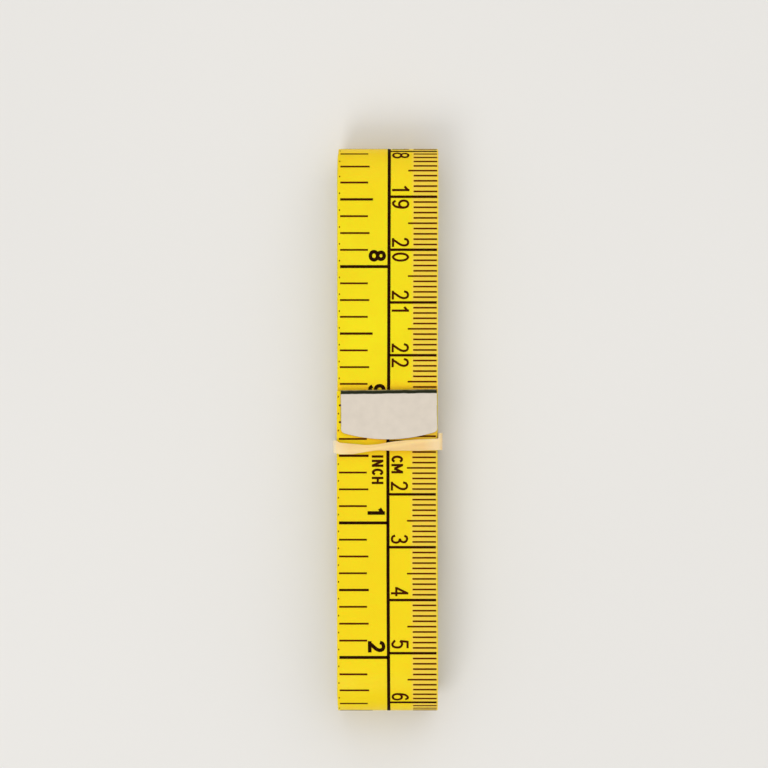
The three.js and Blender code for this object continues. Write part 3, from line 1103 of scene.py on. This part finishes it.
CREASE_PLACES = [-9.3, -4.0, -0.2, 3.3, 6.2, 9.2]
CREASE_LINE = [-4.05, -3.6, -3.12, -2.55, -2.15, -1.92]
CREASE_HIGH = 0.24
CREASE_SUNK = 0.10  # how far the band lies lower beside its crease
CREASE_ABOVE = 0.30
CREASE_BELOW = 0.62
CREASE_END = 9.0
CREASE_FADE = 4.0
OUTER_SKIN = 0.4 * BAND_WALL
# Painted highlight along the crease, widest at the left.
CREASE_HIGHLIGHT_PLACES = [-9.0, 0.0, 9.0]
CREASE_HIGHLIGHT_WIDE = [0.9, 0.42, 0.32]
band_points = vertices_of(rubber_loop) / MM
x, y, z = band_points.T
above = y - np.interp(x, CREASE_PLACES, CREASE_LINE)
fade = np.clip((CREASE_END - np.abs(x)) / CREASE_FADE, 0, 1)
outer = np.clip((z - WAIST_TOP - OUTER_SKIN) / OUTER_SKIN, 0, 1)
ridge = np.exp(-(above / np.where(above > 0, CREASE_ABOVE, CREASE_BELOW)) ** 2)
# Share of the painted highlight along the crease, on the outer skin.
crease_highlight_share = np.exp(-(above / np.interp(x, CREASE_HIGHLIGHT_PLACES, CREASE_HIGHLIGHT_WIDE)) ** 2) * outer
band_points[:, 2] += (CREASE_HIGH * ridge - CREASE_SUNK) * fade * outer
set_vertices(rubber_loop, band_points * MM)
shade(rubber_loop, BAND_SMOOTH)
lay_value(rubber_loop.data, "painted_crease_highlight", crease_highlight_share)

# The rubber is peach, cream where it is cloudy and in a painted highlight along the crease,
# and paler where it is stretched thin towards both sides of the tape. Its left end has a pale
# painted reflection.
RUBBER_CREAM = (0.925, 0.665, 0.28, 1)
RUBBER_PEACH = (0.84, 0.57, 0.24, 1)
RUBBER_PALE = (0.95, 0.78, 0.50, 1)
# Pale painted reflection on the left end of the band.
RUBBER_PAINTED_REFLECTION = (0.82, 0.77, 0.64, 1)
RUBBER_ROUGHNESS = (0.38, 0.52)
CLOUD_SHARE = 0.4
CREASE_HIGHLIGHT_SHARE = 0.8
PALE_FROM = (6.8 * MM, 9.0 * MM)
PALE_SHARE = 0.45
LEFT_REFLECTION_FROM = (-9.5 * MM, -9.9 * MM)
LEFT_REFLECTION_SHARE = 0.6
rubber, tree, shader = new_material("cream_rubber")
spots = add_node(tree, "ShaderNodeTexCoord").outputs["Object"]
x = split_node(tree, spots)[0]
clouds = patches_node(tree, spots, scale=160.0, low=0.35, high=0.65)
skin = patches_node(tree, spots, scale=3200.0, low=0.3, high=0.7)
# Painted highlight along the crease.
crease_highlight = math_node(tree, "MULTIPLY", value_node(tree, "painted_crease_highlight"), CREASE_HIGHLIGHT_SHARE)
pale = math_node(tree, "MULTIPLY_ADD", clouds, CLOUD_SHARE, crease_highlight)
cream = mix_node(tree, pale, RUBBER_PEACH, RUBBER_CREAM)
thin = range_node(tree, math_node(tree, "ABSOLUTE", x), *PALE_FROM, 0.0, PALE_SHARE)
# Pale painted reflection on the left end.
left_end_reflection = range_node(tree, x, *LEFT_REFLECTION_FROM, 0.0, LEFT_REFLECTION_SHARE)
colour = mix_node(tree, left_end_reflection, mix_node(tree, thin, cream, RUBBER_PALE), RUBBER_PAINTED_REFLECTION)
link_finish(tree, shader, colour, skin, RUBBER_ROUGHNESS)
shader.inputs["Subsurface Weight"].default_value = 0.35
shader.inputs["Subsurface Radius"].default_value = (1.0, 0.7, 0.35)
shader.inputs["Subsurface Scale"].default_value = 0.0008
bump_node(tree, skin, strength=0.12, distance=0.02, shader=shader)
rubber_loop.data.materials.append(rubber)
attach(rubber_loop, "band")
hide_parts("rubber_band")

# Studio: a pale table under a soft white sky that is brightest overhead, with a lamp from the
# lower left and a broad soft one beyond the upper end.
TABLE_PALE = (0.80, 0.79, 0.77, 1)
TABLE_GREY = (0.78, 0.77, 0.75, 1)
TABLE_SIZE = 3
TABLE_UNDER = -0.00003
bpy.ops.object.select_all(action="DESELECT")
bpy.ops.mesh.primitive_plane_add(size=TABLE_SIZE, location=(0, 0, TABLE_UNDER))
table = bpy.context.object
table.name = "table"
table_top, tree, shader = new_material("table_top")
spots = add_node(tree, "ShaderNodeTexCoord").outputs["Object"]
grain = patches_node(tree, spots, scale=6.0, low=0.3, high=0.7)
tree.links.new(mix_node(tree, grain, TABLE_PALE, TABLE_GREY), shader.inputs["Base Color"])
shader.inputs["Roughness"].default_value = 0.7
table.data.materials.append(table_top)

# Each lamp has its place and size in metres and its power in watts.
LAMPS = [
    ("key_lamp", (-0.25, -0.55, 0.68), 0.4, 2.3),
    ("side_lamp", (0.15, 0.68, 0.5), 1.1, 2.6),
]
for name, spot, size, power in LAMPS:
    bpy.ops.object.light_add(type="AREA", location=spot)
    lamp = bpy.context.object
    lamp.name = name
    lamp.data.size = size
    lamp.data.energy = power
    lamp.rotation_euler = (-lamp.location).to_track_quat("-Z", "Y").to_euler()

SKY_WHITE = (1.0, 0.985, 0.96, 1)
SKY_STRENGTH = (0.33, 0.88)  # at the horizon and overhead
sky = bpy.data.worlds.new("sky")
bpy.context.scene.world = sky
sky.use_nodes = True
tree = sky.node_tree
upwards = split_node(tree, add_node(tree, "ShaderNodeTexCoord").outputs["Generated"])[2]
brightness = range_node(tree, upwards, 0.0, 1.0, *SKY_STRENGTH)
tree.links.new(brightness, tree.nodes["Background"].inputs["Strength"])
tree.nodes["Background"].inputs["Color"].default_value = SKY_WHITE

bpy.context.scene.view_settings.view_transform = "Standard"
